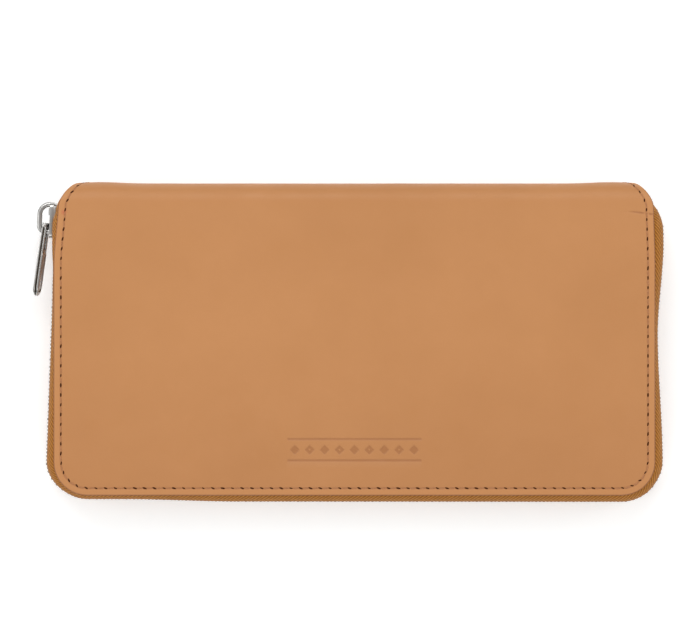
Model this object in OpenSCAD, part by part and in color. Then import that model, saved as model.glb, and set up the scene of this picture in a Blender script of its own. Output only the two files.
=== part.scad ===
// Zip around wallet, lying on its back cover.
// +X runs along the width, +Y points to the spine, +Z is the front cover's outward normal.
// The origin is the middle of the back cover's outer face.

/* [Cover] */
// Width of the leather cover
cover_w = 197.4; // [160:0.2:240]
// Height of the leather cover, from its bottom edge to the outside of the spine
cover_h = 102.5; // [84:0.5:126]
// Thickness of the closed wallet
body_t = 25; // [25:0.5:32]
// Thickness of the cover leather
leather_t = 1.3; // [1:0.1:1.6]
// Outside radius of the leather where it folds round to the spine
fold_r = 6; // [5:0.5:7]
// Radius of the bottom corners
corner_r = 11; // [9:0.5:16]
// Radius of the top corners, beside the spine
top_corner_r = 15; // [10:0.5:20]
// Width that the leather loses at each end, from the panels to the spine
spine_inset = 8; // [5:0.5:10]

/* [Lining and card pockets] */
// Thickness of the stiffening board, which is also the thickness of the zip tape
board_t = 0.6; // [0.4:0.1:0.7]
// Thickness of the lining fabric
lining_t = 0.4; // [0.3:0.05:0.5]
// Distance from the cover's edge to the edge of the lining
lining_inset = 4.7; // [4:0.1:8]
// Thickness of one card pocket layer
pocket_t = 0.45; // [0.3:0.05:0.5]
// Number of card pocket layers on each cover, as the node names say
pocket_count = 4; // [4:1:4]
// Distance from the cover's side edge to the side of a card pocket
pocket_inset = 5.4; // [5.2:0.1:12]
// Distance from the bottom edge to the mouth of the first card pocket
pocket_start = 10; // [8:0.5:14]
// Step from one pocket's mouth to the next
pocket_step = 9; // [6:0.5:10]
// Distance from the spine's outside to the closed end of the pockets
pocket_end = 10.5; // [10:0.5:14]

/* [Main zip] */
// Distance that the chain's middle stands out from the cover's edge
chain_out = 1.6; // [1.2:0.1:2.4]
// Distance that the left run leans in at its top end
chain_lean = 3.2; // [2:0.1:4]
// Distance from the spine's outside to the end of the straight right run
right_run_end = 15.5; // [15.5:0.5:26]
// Angle that the right end turns in towards the spine
end_turn = 45; // [30:1:60]
// Pitch of the teeth
tooth_pitch = 2.45; // [2.3:0.05:2.8]
// Width of a tooth along the chain
tooth_w = 0.95; // [0.8:0.05:1]
// Thickness of a tooth, through the chain
tooth_t = 2.2; // [1.8:0.1:2.3]
// Reach of a tooth past the middle of the chain
tooth_reach = 0.8; // [0.5:0.1:1]
// Distance from the middle of the chain to the root of a tooth
tooth_root = 2.9; // [2.6:0.1:3.1]
// Width of the sewn part of the tape
tape_sewn = 7.4; // [6:0.1:8]

/* [Slider and pull] */
// Length of the slider
slider_len = 11.8; // [10:0.2:14]
// Inside height of the slider's channel
channel_t = 2.6; // [2.5:0.1:3]
// Inside width of the slider's channel
channel_w = 7.2; // [7:0.1:8]
// Thickness of the slider's plates
plate_t = 1.2; // [1:0.1:1.5]
// Width of the slider's edge flanges
flange_w = 0.9; // [0.7:0.1:1.2]
// Distance from the cover's fold line down to the middle of the slider
slider_drop = 6.2; // [5:0.1:8]
// Gap between the slider's flanges that the tape runs in
tape_slot = 1.3; // [1.1:0.1:1.6]
// Length of the bail
bail_len = 10.2; // [9:0.1:12]
// Height of the bail over the slider
bail_h = 4.4; // [4:0.1:5]
// Thickness of the bail's bar
bail_bar = 1.4; // [1.2:0.1:1.6]
// Width of the bail
bail_w = 2.6; // [2:0.1:3]
// Length of the pull tab, from its pivot to its tip
tab_len = 24.3; // [18:0.5:30]
// Width of the pull tab
tab_w = 8; // [7:0.5:10]
// Thickness of the pull tab
tab_t = 1.9; // [1.4:0.1:2]
// Outward tilt of the pull tab at rest
tab_tilt = 7; // [6:1:15]

/* [Coin pocket] */
// Outside thickness of the coin pocket
coin_t = 7; // [6.9:0.1:7.4]
// Thickness of the coin pocket's walls
coin_wall_t = 0.6; // [0.4:0.1:0.8]
// Distance from the bottom edge to the mouth of the coin pocket
coin_mouth = 25; // [24:0.5:34]
// Size of the coin slider against the main slider
coin_scale = 0.72; // [0.68:0.01:0.74]
// Pitch of the coin zip's teeth
coin_pitch = 2; // [1.8:0.1:2.4]
// Thickness of the coin zip's tape
coin_tape_t = 0.4; // [0.3:0.05:0.45]
// Length of the coin pull tab
coin_tab_len = 14; // [10:0.5:15]
// Distance from the coin zip's end to the side of the pocket
coin_zip_inset = 6; // [5:0.5:12]

/* [Gussets] */
// Depth of the folded side gussets at the mouth of the coin pocket
gusset_depth = 16; // [10:0.5:18]
// Depth of the folded side gussets at the spine end
gusset_depth_spine = 5; // [3:0.5:8]
// Thickness of the gusset fabric
gusset_t = 0.5; // [0.4:0.1:0.6]

/* [Ornament] */
// Width of the pressed ornament on the front cover
ornament_w = 44; // [30:1:60]
// Number of diamonds in the ornament
ornament_count = 9; // [5:2:13]
// Depth of the pressed lines
ornament_depth = 0.25; // [0.1:0.05:0.4]
// Distance from the bottom edge to the middle of the ornament
ornament_drop = 15; // [12:0.5:20]

/* [Hidden] */
$fn = 64;

// Colours
leather_c = [0.78, 0.57, 0.38];
tape_c = [0.67, 0.45, 0.21];
metal_c = [0.78, 0.78, 0.76];
fabric_c = [0.45, 0.30, 0.18];
board_c = [0.75, 0.72, 0.65];

// Running clearances
skin_gap = 0.1;

// Cover: the zip stands out below, so the whole object is centred on y = 0
tooth_out = tooth_t / 2;
spine_y = (cover_h + chain_out + tooth_out - 0.2) / 2;
bottom_y = spine_y - cover_h;
fold_y = spine_y - fold_r;
half_w = cover_w / 2;
mid_z = body_t / 2;

// Layers over the back cover; the front cover's are their mirror image
board_z = leather_t;
lining_z = board_z + board_t;
pocket_z = lining_z + lining_t;
note_z = pocket_z + pocket_count * pocket_t;
coin_z = mid_z - coin_t / 2;
inner_top_y = spine_y - pocket_end;
pocket_half_w = half_w - pocket_inset;

// Main zip: a straight left run, the bottom run and the right run, joined by round corners
chain_r = corner_r + chain_out;
arc_x = half_w - corner_r;
arc_low_y = bottom_y + corner_r;
arc_high_y = spine_y - right_run_end;
tape_past_fold = 1.7;
zip_start = [-(arc_x + chain_r - chain_lean), fold_y + tape_past_fold];
start_offset = zip_start - [-arc_x, arc_low_y];
start_dist = norm(start_offset);
left_angle = atan2(start_offset[1], start_offset[0]) + acos(chain_r / start_dist);
s_left = sqrt(start_dist * start_dist - chain_r * chain_r);
s_corner_left = s_left + arc_len(270 - left_angle);
s_bottom = s_corner_left + 2 * arc_x;
s_corner_right = s_bottom + arc_len(90);
s_right = s_corner_right + arc_high_y - arc_low_y;
s_end = s_right + arc_len(end_turn);
slider_s = slider_drop + tape_past_fold;
stop_len = 1.4;
bottom_stop_len = 4;

function arc_len(degrees) = chain_r * degrees * PI / 180;

function on_arc(centre, angle) = [
    centre[0] + chain_r * cos(angle), centre[1] + chain_r * sin(angle), angle];

// Place on the chain at a distance s from its start: x, y, and the outward direction
function path_at(s) =
    s < s_left ? [
        zip_start[0] - s * sin(left_angle), zip_start[1] + s * cos(left_angle), left_angle]
    : s < s_corner_left ? on_arc([-arc_x, arc_low_y], left_angle + (s - s_left) / arc_len(1))
    : s < s_bottom ? [-arc_x + s - s_corner_left, arc_low_y - chain_r, 270]
    : s < s_corner_right ? on_arc([arc_x, arc_low_y], 270 + (s - s_bottom) / arc_len(1))
    : s < s_right ? [arc_x + chain_r, arc_low_y + s - s_corner_right, 360]
    : on_arc([arc_x, arc_high_y], 360 + (s - s_right) / arc_len(1));

// Coin pocket
coin_half_w = pocket_half_w;
coin_mouth_y = bottom_y + coin_mouth;
coin_chain_y = coin_mouth_y - (channel_t / 2 + plate_t) * coin_scale - 1.2;
coin_zip_half = coin_half_w - coin_zip_inset;
coin_slider_x = -(coin_zip_half - 14);
coin_side_w = 2;
coin_tooth_t = 1.5;
coin_tooth_w = 0.8;
coin_tooth_root = 1.9;
coin_tooth_reach = 0.55;

// ---- Shared shapes ----

// Plate outline with round bottom corners and round top corners
module outline(half, low, high, low_r, high_r) {
    for (side = [-1, 1]) {
        translate([side * (half - low_r), low + low_r]) circle(low_r);
        translate([side * (half - high_r), high - high_r]) circle(high_r);
    }
    translate([-half, low + low_r]) square([2 * half, high - high_r - low - low_r]);
    translate([-(half - low_r), low]) square([2 * (half - low_r), low_r]);
    translate([-(half - high_r), high - high_r]) square([2 * (half - high_r), high_r]);
}

module layer(z, thick) {
    translate([0, 0, z]) linear_extrude(thick) children();
}

module on_front() {
    translate([0, 0, body_t]) mirror([0, 0, 1]) children();
}

// Outward is local +X, the chain's direction is local +Y
module on_chain(s) {
    place = path_at(s);
    translate([place[0], place[1], 0]) rotate([0, 0, place[2]]) children();
}

module block(x, y, z) {
    translate([x[0], y[0], z[0]]) cube([x[1] - x[0], y[1] - y[0], z[1] - z[0]]);
}

// ---- Leather cover ----

module cover_panel() {
    layer(0, leather_t)
        intersection() {
            outline(half_w, bottom_y, fold_y - 6.5 + top_corner_r, corner_r, top_corner_r);
            translate([-half_w, bottom_y]) square([cover_w, fold_y - bottom_y]);
        }
}

module cover_fold() {
    fold_half = half_w - spine_inset / 2;
    translate([-fold_half, fold_y, fold_r])
        rotate([90, 0, 90])
            linear_extrude(2 * fold_half)
                intersection() {
                    difference() {
                        circle(fold_r);
                        circle(fold_r - leather_t);
                    }
                    translate([0, -fold_r]) square([fold_r, fold_r - skin_gap]);
                }
}

module ornament() {
    step = ornament_w / ornament_count;
    line_w = 0.5;
    for (i = [0 : ornament_count - 1])
        translate([(i - (ornament_count - 1) / 2) * step, 0])
            rotate(45)
                square(step / 2.2, center = true);
    for (side = [-1, 1])
        translate([-ornament_w / 2, side * step / 1.4 - line_w / 2])
            square([ornament_w, line_w]);
}

module cover_back() {
    color(leather_c) cover_panel();
}

module cover_front() {
    color(leather_c)
        difference() {
            on_front() cover_panel();
            translate([0, bottom_y + ornament_drop, body_t - ornament_depth])
                linear_extrude(1)
                    ornament();
        }
}

module cover_fold_back() {
    color(leather_c) cover_fold();
}

module cover_fold_front() {
    color(leather_c) on_front() cover_fold();
}

module spine_strip(inset, outside_y, thick) {
    half = half_w - inset;
    block([-half, half], [outside_y - thick, outside_y], [fold_r + skin_gap, body_t - fold_r - skin_gap]);
}

module cover_spine() {
    color(leather_c) spine_strip(spine_inset, spine_y, leather_t);
}

// ---- Boards, linings and card pockets ----

// The board stops short of the sewn tape
module board() {
    inset = tape_sewn + chain_lean + 1;
    layer(board_z, board_t)
        outline(half_w - inset, bottom_y + tape_sewn + 1, fold_y - 2, 6, 4);
}

module board_back() {
    color(board_c) board();
}

module board_front() {
    color(board_c) on_front() board();
}

module lining() {
    layer(lining_z, lining_t)
        outline(half_w - lining_inset, bottom_y + 2, fold_y, corner_r - 2, 4);
}

module lining_back() {
    color(fabric_c) lining();
}

module lining_front() {
    color(fabric_c) on_front() lining();
}

module lining_spine() {
    color(fabric_c) spine_strip(spine_inset + 2, spine_y - leather_t, lining_t);
}

// Layer 1 lies on the lining, and its mouth is the nearest to the bottom edge
module card_pocket(number) {
    mouth_y = bottom_y + pocket_start + (number - 1) * pocket_step;
    layer(pocket_z + (number - 1) * pocket_t, pocket_t)
        outline(pocket_half_w, mouth_y, inner_top_y, 2, 2);
}

module card_pocket_back(number) {
    color(leather_c) card_pocket(number);
}

module card_pocket_front(number) {
    color(leather_c) on_front() card_pocket(number);
}

// ---- Main zip ----

tape_top = mid_z - tooth_root + 0.6;

// Section of the tape: the sewn part lies flat, then the tape turns up beside the cover's edge
module tape_section() {
    sewn_end = -chain_out;
    half_t = board_t / 2;
    rise = chain_out + half_t;
    polygon([
        [sewn_end - tape_sewn, board_z], [sewn_end, board_z],
        [half_t, board_z + rise], [half_t, tape_top],
        [-half_t, tape_top], [-half_t, board_z + rise + 0.25],
        [sewn_end - 0.25, board_z + board_t], [sewn_end - tape_sewn, board_z + board_t],
    ]);
}

module tape_run(s_from, s_to) {
    on_chain(s_to)
        rotate([90, 0, 0])
            linear_extrude(s_to - s_from)
                tape_section();
}

module tape_corner(centre, from_angle, turn) {
    translate([centre[0], centre[1], 0])
        rotate([0, 0, from_angle])
            rotate_extrude(angle = turn)
                translate([chain_r, 0])
                    tape_section();
}

module zip_tape() {
    tape_run(tape_past_fold, s_left);
    tape_corner([-arc_x, arc_low_y], left_angle, 270 - left_angle);
    tape_run(s_corner_left, s_bottom);
    tape_corner([arc_x, arc_low_y], 270, 90);
    tape_run(s_corner_right, s_right);
    tape_corner([arc_x, arc_high_y], 0, end_turn);
    // Above the fold line only the standing part goes on, to the stop
    on_chain(0)
        block([-board_t / 2, board_t / 2], [0, tape_past_fold], [tape_top - 3, tape_top]);
}

module zip_tape_back() {
    color(tape_c) zip_tape();
}

module zip_tape_front() {
    color(tape_c) on_front() zip_tape();
}

first_tooth_s = slider_s - 2;
last_tooth_s = s_end - bottom_stop_len - 1;
tooth_count = floor((last_tooth_s - first_tooth_s) / tooth_pitch);

module zip_teeth(offset_s) {
    for (i = [0 : tooth_count - 1])
        on_chain(first_tooth_s + offset_s + i * tooth_pitch)
            block(
                [-tooth_t / 2, tooth_t / 2],
                [-tooth_w / 2, tooth_w / 2],
                [mid_z - tooth_root, mid_z + tooth_reach]
            );
}

module zip_teeth_back() {
    color(metal_c) zip_teeth(0);
}

module zip_teeth_front() {
    color(metal_c) on_front() zip_teeth(tooth_pitch / 2);
}

module zip_stop() {
    on_chain(0)
        block([-0.9, 0.6], [0, stop_len], [tape_top - 1.2, tape_top + 0.8]);
}

module zip_stop_back() {
    color(metal_c) zip_stop();
}

module zip_stop_front() {
    color(metal_c) on_front() zip_stop();
}

module zip_bottom_stop() {
    color(metal_c)
        on_chain(s_end)
            block([-1.4, 1.4], [-bottom_stop_len, 0], [tape_top + skin_gap, body_t - tape_top - skin_gap]);
}

// ---- Slider, bail, pawl and pull ----
// Local frame: +X is outward, +Y is the way the slider opens, z = 0 is the middle of the chain.

plate_out = channel_t / 2 + plate_t;
slider_half_w = channel_w / 2 + flange_w;
bail_start_y = -slider_len / 2 + 0.2;
pivot_y = bail_start_y + bail_len - bail_bar - 1.3;
pivot_x = plate_out + (bail_h - bail_bar) / 2;

module slider_plate() {
    narrow = slider_half_w - 0.8;
    end_y = slider_len / 2;
    rotate([0, 90, 0])
        linear_extrude(plate_t)
            polygon([
                [-slider_half_w + 1, -end_y], [slider_half_w - 1, -end_y],
                [slider_half_w, -end_y + 1], [slider_half_w, 0],
                [narrow, end_y - 1], [narrow - 1, end_y],
                [1 - narrow, end_y], [-narrow, end_y - 1],
                [-slider_half_w, 0], [-slider_half_w, -end_y + 1],
            ]);
}

// Edge flange, from one plate towards the other, leaving the tape slot open
module slider_flange(side, face) {
    reach = (channel_t - tape_slot) / 2;
    x_low = face > 0 ? tape_slot / 2 : -tape_slot / 2 - reach;
    z_low = side > 0 ? channel_w / 2 : -slider_half_w;
    z_high = side > 0 ? slider_half_w : -channel_w / 2;
    block([x_low, x_low + reach], [-slider_len / 2 + 1, 0], [z_low, z_high]);
}

module slider_shape() {
    translate([channel_t / 2, 0, 0]) slider_plate();
    translate([-plate_out, 0, 0]) slider_plate();
    for (side = [-1, 1], face = [-1, 1])
        slider_flange(side, face);
    block([-channel_t / 2, channel_t / 2], [-slider_len / 2 + 0.2, -slider_len / 2 + 2.3], [-0.9, 0.9]);
}

// Bail: an arch over the outer plate
module bail_shape() {
    outer_r = 3;
    translate([0, 0, -bail_w / 2])
        linear_extrude(bail_w)
            difference() {
                translate([plate_out, bail_start_y])
                    intersection() {
                        translate([-bail_h, 0]) arch_outline(2 * bail_h, bail_len, outer_r);
                        square([bail_h, bail_len]);
                    }
                translate([plate_out - bail_h, bail_start_y + bail_bar])
                    arch_outline(2 * bail_h - bail_bar, bail_len - 2 * bail_bar, outer_r - bail_bar);
            }
}

module arch_outline(depth, span, radius) {
    translate([radius, 0]) square([depth - 2 * radius, span]);
    translate([0, radius]) square([depth, span - 2 * radius]);
    for (x = [radius, depth - radius], y = [radius, span - radius])
        translate([x, y]) circle(radius);
}

module pawl_shape() {
    block([plate_out, plate_out + 0.5], [bail_start_y + bail_bar + 0.2, bail_start_y + bail_bar + 2.6], [-0.9, 0.9]);
}

// Pull tab: the round bar at its pivot lies in the bail's arch, and the arch passes through its slot
module tab_shape(length) {
    bar_r = tab_t / 2;
    slot_end = bail_len - 2.2;
    tip_r = tab_w / 2 - 0.5;
    rim = 1.1;
    recess = 0.25;
    translate([pivot_x, pivot_y, 0])
        rotate([0, 0, -tab_tilt]) {
            translate([0, 0, -tab_w / 2]) cylinder(h = tab_w, r = bar_r);
            difference() {
                tab_plate(tab_t, 0, length, tab_w, tip_r);
                tab_plate(tab_t + 1, bar_r, slot_end, bail_w + 1.2, 1);
                for (side = [-1, 1])
                    translate([side * (tab_t - recess), 0, 0])
                        tab_plate(tab_t, slot_end + rim, length - rim, tab_w - 2 * rim, tip_r - rim);
            }
        }
}

// Flat plate in the local YZ plane with square shoulders at y_from and round corners at y_to
module tab_plate(thick, y_from, y_to, width, radius) {
    translate([-thick / 2, 0, 0])
        rotate([90, 0, 90])
            linear_extrude(thick) {
                translate([y_from, -width / 2]) square([y_to - y_from - radius, width]);
                translate([y_from, -width / 2 + radius]) square([y_to - y_from, width - 2 * radius]);
                for (side = [-1, 1])
                    translate([y_to - radius, side * (width / 2 - radius)]) circle(radius);
            }
}

module at_slider() {
    on_chain(slider_s) translate([0, 0, mid_z]) children();
}

module slider_body() {
    color(metal_c) at_slider() slider_shape();
}

module slider_bail() {
    color(metal_c) at_slider() bail_shape();
}

module lock_pawl() {
    color(metal_c) at_slider() pawl_shape();
}

module pull_tab() {
    color(metal_c) at_slider() tab_shape(tab_len);
}

// ---- Coin pocket ----

module coin_wall() {
    layer(coin_z, coin_wall_t)
        outline(coin_half_w, coin_mouth_y, inner_top_y, 1, 2);
}

module coin_wall_back() {
    color(fabric_c) coin_wall();
}

module coin_wall_front() {
    color(fabric_c) on_front() coin_wall();
}

module coin_side(side) {
    x_low = side > 0 ? coin_half_w - coin_side_w : -coin_half_w;
    color(fabric_c)
        block(
            [x_low, x_low + coin_side_w],
            [coin_mouth_y + 2, inner_top_y - 3],
            [coin_z + coin_wall_t, body_t - coin_z - coin_wall_t]
        );
}

// Closed end of the coin pocket, with the web that joins it to the spine
module coin_base() {
    base_half = coin_half_w - 3;
    web_half = half_w - spine_inset - 3;
    color(fabric_c) {
        block(
            [-base_half, base_half],
            [inner_top_y - 2, inner_top_y],
            [coin_z + coin_wall_t, body_t - coin_z - coin_wall_t]
        );
        block([-web_half, web_half], [inner_top_y, spine_y - leather_t - lining_t], [mid_z - 0.4, mid_z + 0.4]);
    }
}

coin_tape_top = mid_z - coin_tooth_root + 0.6;

// The tape is sewn on the wall's outside and turns over the mouth, clear of the slider
module coin_tape() {
    sewn_y = coin_mouth_y + 5;
    half_t = coin_tape_t / 2;
    block([-coin_zip_half, coin_zip_half], [coin_chain_y - half_t, sewn_y], [coin_z - coin_tape_t, coin_z]);
    block([-coin_zip_half, coin_zip_half], [coin_chain_y - half_t, coin_chain_y + half_t], [coin_z, coin_tape_top]);
}

module coin_tape_back() {
    color(tape_c) coin_tape();
}

module coin_tape_front() {
    color(tape_c) on_front() coin_tape();
}

coin_first_tooth = coin_slider_x - 1;
coin_last_tooth = coin_zip_half - 6;
coin_tooth_count = floor((coin_last_tooth - coin_first_tooth) / coin_pitch);

module coin_teeth(offset_x) {
    for (i = [0 : coin_tooth_count - 1])
        translate([coin_first_tooth + offset_x + i * coin_pitch, coin_chain_y, mid_z])
            block(
                [-coin_tooth_w / 2, coin_tooth_w / 2],
                [-coin_tooth_t / 2, coin_tooth_t / 2],
                [-coin_tooth_root, coin_tooth_reach]
            );
}

module coin_teeth_back() {
    color(metal_c) coin_teeth(0);
}

module coin_teeth_front() {
    color(metal_c) on_front() coin_teeth(coin_pitch / 2);
}

module coin_stop(x) {
    color(metal_c)
        translate([x, coin_chain_y, mid_z])
            block([-0.7, 0.7], [-0.7, 0.7], [coin_tape_top - mid_z - 0.3, mid_z - coin_tape_top + 0.3]);
}

module coin_stop_closed() {
    coin_stop(coin_slider_x - slider_len / 2 * coin_scale - 1.2);
}

module coin_stop_open() {
    coin_stop(coin_zip_half - 2);
}

module at_coin_slider() {
    translate([coin_slider_x, coin_chain_y, mid_z])
        rotate([0, 0, -90])
            scale(coin_scale)
                children();
}

module coin_slider_body() {
    color(metal_c) at_coin_slider() slider_shape();
}

module coin_bail() {
    color(metal_c) at_coin_slider() bail_shape();
}

module coin_pull_tab() {
    color(metal_c) at_coin_slider() tab_shape(coin_tab_len / coin_scale);
}

// ---- Side gussets ----

// One leaf of a gusset, cut across at y
module leaf_slice(side, y, depth, outer_z, crease_z) {
    outer_x = side * pocket_half_w;
    crease_x = side * (pocket_half_w - depth);
    half_t = gusset_t / 2;
    translate([0, y, 0])
        rotate([90, 0, 0])
            linear_extrude(0.02)
                polygon([
                    [outer_x, outer_z - half_t], [crease_x, crease_z - half_t],
                    [crease_x - side * half_t, crease_z], [crease_x, crease_z + half_t],
                    [outer_x, outer_z + half_t],
                ]);
}

// Folded strip between a cover's card pockets and the coin pocket. Its crease points in, and it is
// deeper towards the mouth, where the wallet opens wider.
module gusset(side) {
    low_z = note_z + gusset_t / 2;
    high_z = coin_z - skin_gap - gusset_t / 2;
    crease_z = (low_z + high_z) / 2;
    for (outer_z = [low_z, high_z])
        hull() {
            leaf_slice(side, coin_mouth_y + 1, gusset_depth, outer_z, crease_z);
            leaf_slice(side, inner_top_y - 1, gusset_depth_spine, outer_z, crease_z);
        }
}

module gusset_left_back() {
    color(fabric_c) gusset(-1);
}

module gusset_right_back() {
    color(fabric_c) gusset(1);
}

module gusset_left_front() {
    color(fabric_c) on_front() gusset(-1);
}

module gusset_right_front() {
    color(fabric_c) on_front() gusset(1);
}

// ---- Assembly ----

cover_back();
cover_fold_back();
cover_spine();
cover_fold_front();
cover_front();
board_back();
board_front();
lining_back();
lining_spine();
lining_front();
for (i = [1 : pocket_count]) {
    card_pocket_back(i);
    card_pocket_front(i);
}
zip_tape_back();
zip_tape_front();
zip_teeth_back();
zip_teeth_front();
zip_stop_back();
zip_stop_front();
zip_bottom_stop();
slider_body();
slider_bail();
lock_pawl();
pull_tab();
coin_wall_back();
coin_wall_front();
coin_side(-1);  // coin_side_left
coin_side(1);  // coin_side_right
coin_base();
coin_tape_back();
coin_tape_front();
coin_teeth_back();
coin_teeth_front();
coin_stop_closed();
coin_stop_open();
coin_slider_body();
coin_bail();
coin_pull_tab();
gusset_left_back();
gusset_left_front();
gusset_right_back();
gusset_right_front();
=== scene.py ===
"""Zip around wallet: leather, zip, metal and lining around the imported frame.

All in metres in the frame's axes: +X along the width, +Y to the spine, +Z out of the front cover.
"Leather coordinate" s is y on the flat panels and goes on along the leather, round the fold, to the middle of
the spine. "Depth" goes into the leather from its outer face.
"""

import math
import random

import bmesh
import bpy
from mathutils import Matrix, Vector, noise


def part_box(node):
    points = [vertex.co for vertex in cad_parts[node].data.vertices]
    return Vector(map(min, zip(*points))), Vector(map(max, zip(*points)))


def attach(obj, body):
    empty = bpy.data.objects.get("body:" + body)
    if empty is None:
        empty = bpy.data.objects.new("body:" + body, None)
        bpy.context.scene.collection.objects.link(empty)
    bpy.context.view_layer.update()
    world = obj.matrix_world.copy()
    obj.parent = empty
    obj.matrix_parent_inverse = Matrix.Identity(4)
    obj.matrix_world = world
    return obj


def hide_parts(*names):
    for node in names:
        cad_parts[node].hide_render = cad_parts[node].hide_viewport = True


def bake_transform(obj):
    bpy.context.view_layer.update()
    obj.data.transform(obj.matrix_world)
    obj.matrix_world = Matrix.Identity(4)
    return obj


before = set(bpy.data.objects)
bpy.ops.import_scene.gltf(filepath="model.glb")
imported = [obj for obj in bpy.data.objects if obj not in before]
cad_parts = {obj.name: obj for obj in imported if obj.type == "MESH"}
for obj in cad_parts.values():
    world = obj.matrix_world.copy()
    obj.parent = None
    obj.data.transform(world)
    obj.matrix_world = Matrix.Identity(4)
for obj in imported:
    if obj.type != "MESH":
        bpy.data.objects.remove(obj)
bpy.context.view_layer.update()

MM = 0.001

# ---------------------------------------------------------------- sizes from the frame

PANEL_LOW, PANEL_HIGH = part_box("cover_back")
SPINE_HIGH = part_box("cover_spine")[1]
HALF_W = PANEL_HIGH.x
BOTTOM_Y = PANEL_LOW.y
FOLD_Y = PANEL_HIGH.y
LEATHER_T = PANEL_HIGH.z
SPINE_Y = SPINE_HIGH.y
SPINE_INSET = HALF_W - SPINE_HIGH.x
BODY_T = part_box("cover_front")[1].z
MID_Z = BODY_T / 2
FOLD_R = SPINE_Y - FOLD_Y
NEUTRAL_R = FOLD_R - LEATHER_T / 2
FOLD_ARC = NEUTRAL_R * math.pi / 2
SPINE_S = FOLD_Y + FOLD_ARC
MID_S = SPINE_S + MID_Z - FOLD_R

CORNER_R = 11 * MM
CORNER_X = HALF_W - CORNER_R
CORNER_Y = BOTTOM_Y + CORNER_R

LINING_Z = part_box("lining_back")[0].z
LINING_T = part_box("lining_back")[1].z - LINING_Z
POCKETS = [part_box(f"card_pocket_back_{i}") for i in (1, 2, 3, 4)]
POCKET_HALF_W = POCKETS[0][1].x
INNER_TOP_Y = POCKETS[0][1].y
NOTE_Z = POCKETS[-1][1].z
COIN_LOW, COIN_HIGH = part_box("coin_wall_back")

# ---------------------------------------------------------------- the zip's path

CHAIN_OUT = 1.6 * MM
CHAIN_LEAN = 3.2 * MM
TAPE_PAST_FOLD = 1.7 * MM
END_TURN = math.radians(45)
CHAIN_R = CORNER_R + CHAIN_OUT
STOP_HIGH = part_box("zip_bottom_stop")[1]
RIGHT_ARC_Y = STOP_HIGH.y - (CHAIN_R + 1.4 * MM) * math.sin(END_TURN)
CHAIN_START = Vector((-(CORNER_X + CHAIN_R - CHAIN_LEAN), FOLD_Y + TAPE_PAST_FOLD))
FROM_CORNER = CHAIN_START - Vector((-CORNER_X, CORNER_Y))
LEFT_ANGLE = math.atan2(FROM_CORNER.y, FROM_CORNER.x) + math.acos(CHAIN_R / FROM_CORNER.length)
S_LEFT = math.sqrt(FROM_CORNER.length**2 - CHAIN_R**2)
S_CORNER_LEFT = S_LEFT + CHAIN_R * (1.5 * math.pi - LEFT_ANGLE)
S_BOTTOM = S_CORNER_LEFT + 2 * CORNER_X
S_CORNER_RIGHT = S_BOTTOM + CHAIN_R * math.pi / 2
S_RIGHT = S_CORNER_RIGHT + RIGHT_ARC_Y - CORNER_Y
S_END = S_RIGHT + CHAIN_R * END_TURN
SLIDER_S = 7.9 * MM
TOOTH_PITCH = 2.45 * MM
FIRST_TOOTH_S = SLIDER_S - 2 * MM
LAST_TOOTH_S = S_END - 5 * MM


def smoothstep(t):
    t = min(max(t, 0.0), 1.0)
    return t * t * (3 - 2 * t)


def face_up(z, front):
    """Height for the front half of the wallet from the height for the back half."""
    return BODY_T - z if front else z


def chain_at(s):
    """Place on the chain at a distance s from its start, and the outward direction there, as an angle."""

    def arc(centre_x, centre_y, angle):
        return centre_x + CHAIN_R * math.cos(angle), centre_y + CHAIN_R * math.sin(angle), angle

    if s < S_LEFT:
        return CHAIN_START.x - s * math.sin(LEFT_ANGLE), CHAIN_START.y + s * math.cos(LEFT_ANGLE), LEFT_ANGLE
    if s < S_CORNER_LEFT:
        return arc(-CORNER_X, CORNER_Y, LEFT_ANGLE + (s - S_LEFT) / CHAIN_R)
    if s < S_BOTTOM:
        return -CORNER_X + s - S_CORNER_LEFT, CORNER_Y - CHAIN_R, 1.5 * math.pi
    if s < S_CORNER_RIGHT:
        return arc(CORNER_X, CORNER_Y, 1.5 * math.pi + (s - S_BOTTOM) / CHAIN_R)
    if s < S_RIGHT:
        return CORNER_X + CHAIN_R, CORNER_Y + s - S_CORNER_RIGHT, 2 * math.pi
    return arc(CORNER_X, RIGHT_ARC_Y, 2 * math.pi + (s - S_RIGHT) / CHAIN_R)


def through(knots, s):
    """Value at s on a smooth line through knots, given as pairs of place and value."""
    s = max(s, knots[0][0])
    for (s0, v0), (s1, v1) in zip(knots, knots[1:]):
        if s <= s1:
            return v0 + (v1 - v0) * smoothstep((s - s0) / (s1 - s0))
    return knots[-1][1]


# How far the chain strays outward from its even path, negative where it is pulled in: it tucks in above the
# slider, round both bottom corners and half way up the right side.
TAPE_START = -2.2 * MM
TAPE_END = S_END + 4 * MM
WANDER = [
    (TAPE_START, -3.8 * MM), (0, -1.6 * MM), (2.6 * MM, 0), (S_LEFT, 0), (S_LEFT + 15 * MM, -1.4 * MM),
    (S_CORNER_LEFT + 12 * MM, -1.4 * MM), (S_CORNER_LEFT + 50 * MM, -0.6 * MM), (S_BOTTOM, -0.5 * MM),
    (S_CORNER_RIGHT - 8 * MM, -0.4 * MM), (S_CORNER_RIGHT, 0), (S_CORNER_RIGHT + 42 * MM, -1.6 * MM),
    (S_RIGHT - 4 * MM, 0.3 * MM), (S_END, 0), (TAPE_END, -0.4 * MM),
]

# How far each tape swells outward between the leather and the teeth: most beside the slider's rest
FULLNESS = [
    (3.5 * MM, 0), (9 * MM, 1.2 * MM), (15 * MM, 1.05 * MM), (26 * MM, 0.4 * MM), (40 * MM, 0.2 * MM),
    (S_LEFT, 0.2 * MM), (S_CORNER_LEFT, 0.45 * MM), (S_BOTTOM, 0.43 * MM), (S_CORNER_RIGHT, 0.33 * MM),
]


def wander(s):
    return through(WANDER, s)


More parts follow.
